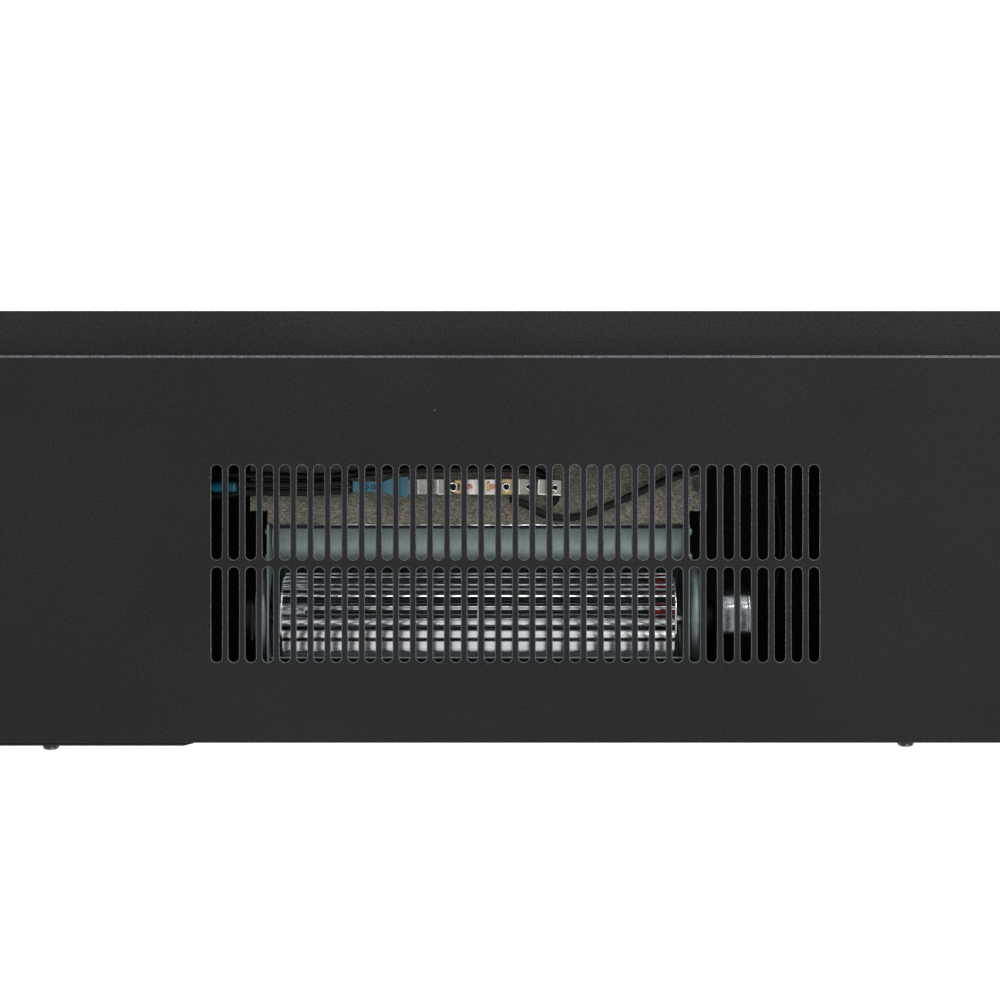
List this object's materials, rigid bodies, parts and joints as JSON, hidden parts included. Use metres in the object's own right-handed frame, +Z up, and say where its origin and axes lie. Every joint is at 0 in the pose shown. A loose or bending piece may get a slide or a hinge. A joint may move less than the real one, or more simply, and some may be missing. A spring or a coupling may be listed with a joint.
{
  "type": "electric fireplace",
  "caption": "Built-in linear electric fireplace: graphite steel case with slotted top intake, crossflow blower and mica heater, and a black-framed glass front over a lit ember bed.",
  "frame": {"origin": "middle of the footprint on the underside of the case", "axes": "+X to the right seen from the front, -Y out through the glass, +Z up"},
  "size_m": [0.914, 0.1838, 0.44],
  "materials": {
    "case_paint": "fine textured graphite powder coat",
    "frame_paint": "satin black powder coat",
    "galvanised": "galvanised sheet",
    "bright_metal": "bright rolled aluminium",
    "plated_steel": "zinc-plated steel",
    "element": "nickel-chrome ribbon",
    "mica": "pressed mica board",
    "blue_sleeve": "translucent blue vinyl",
    "lead_black": "smooth black insulation",
    "rubber": "matt black",
    "glass": "tinted, polished",
    "screen": "smoked, diffusing back",
    "crystals": "crushed clear",
    "logs": "cast resin driftwood",
    "circuit": "green solder resist",
    "black_gloss": "moulded gloss black",
    "driver_case": "moulded matt black"
  },
  "bodies": {
    "case": {"top_panel": "case_paint", "bottom_panel": "case_paint", "side_panel_left": "case_paint", "side_panel_right": "case_paint", "rear_panel": "case_paint", "wiring_cover": "case_paint", "rear_screw_left": "black_gloss", "rear_screw_right": "black_gloss", "top_rail": "frame_paint", "bottom_rail": "frame_paint", "side_rail_left": "frame_paint", "side_rail_right": "frame_paint", "outlet_louvre": "frame_paint", "control_board": "circuit", "rocker_body": "black_gloss", "display_window": "black_gloss", "end_plate_left": "galvanised", "end_plate_right": "galvanised", "cutoff_plate": "galvanised", "scroll_shell": "galvanised", "bearing_bridge": "frame_paint", "motor_bridge": "frame_paint", "blower_bearing": "rubber", "motor_mount": "rubber", "blower_motor": "plated_steel", "heater_top_board": "mica", "heater_floor_board": "mica", "heater_side_board_left": "mica", "heater_side_board_right": "mica", "heater_element": "element", "thermostat": "plated_steel", "thermal_fuse": "plated_steel", "lead_connector": "blue_sleeve", "driver_box": "driver_case", "lead_heater_near": "lead_black", "lead_heater_far": "lead_black", "lead_sensor": "lead_black", "lead_fan": "lead_black", "firebox_roof": "frame_paint", "firebox_side_left": "frame_paint", "firebox_side_right": "frame_paint", "flame_screen": "screen", "ember_tray": "frame_paint", "ember_bed": "crystals", "ember_light_board": "circuit", "flame_light_board": "circuit", "log_1": "logs", "log_2": "logs", "log_3": "logs", "rotor_stand_left": "galvanised", "rotor_stand_right": "galvanised", "flicker_motor": "plated_steel"},
    "blower_wheel": {"impeller_wheel": "bright_metal"},
    "flicker_spindle": {"flicker_rotor": "bright_metal"},
    "power_key": {"power_button": "black_gloss"},
    "flame_key": {"flame_button": "black_gloss"},
    "heat_key": {"heat_button": "black_gloss"},
    "timer_key": {"timer_button": "black_gloss"},
    "rocker": {"rocker_switch": "black_gloss"},
    "glass": {"front_glass": "glass"}
  },
  "joints": [
    {"name": "impeller_spin", "type": "hinge", "parent": "case", "child": "blower_wheel", "pos_m": [0, 0.03911, 0.406], "axis": [1, 0, 0], "continuous": true},
    {"name": "flicker_spin", "type": "hinge", "parent": "case", "child": "flicker_spindle", "pos_m": [0, 0.04391, 0.044], "axis": [1, 0, 0], "continuous": true},
    {"name": "power_press", "type": "slide", "parent": "case", "child": "power_key", "axis": [0, 1, 0], "range_m": [0, 0.0009], "stiffness_N_per_m": 400},
    {"name": "flame_press", "type": "slide", "parent": "case", "child": "flame_key", "axis": [0, 1, 0], "range_m": [0, 0.0009], "stiffness_N_per_m": 400},
    {"name": "heat_press", "type": "slide", "parent": "case", "child": "heat_key", "axis": [0, 1, 0], "range_m": [0, 0.0009], "stiffness_N_per_m": 400},
    {"name": "timer_press", "type": "slide", "parent": "case", "child": "timer_key", "axis": [0, 1, 0], "range_m": [0, 0.0009], "stiffness_N_per_m": 400},
    {"name": "rocker_tilt", "type": "hinge", "parent": "case", "child": "rocker", "pos_m": [0.403, -0.08609, 0.403], "axis": [1, 0, 0], "range_deg": [-14, 0]},
    {"name": "glass_pull", "type": "slide", "parent": "case", "child": "glass", "axis": [0, -1, 0], "range_m": [0, 0.06]}
  ]
}
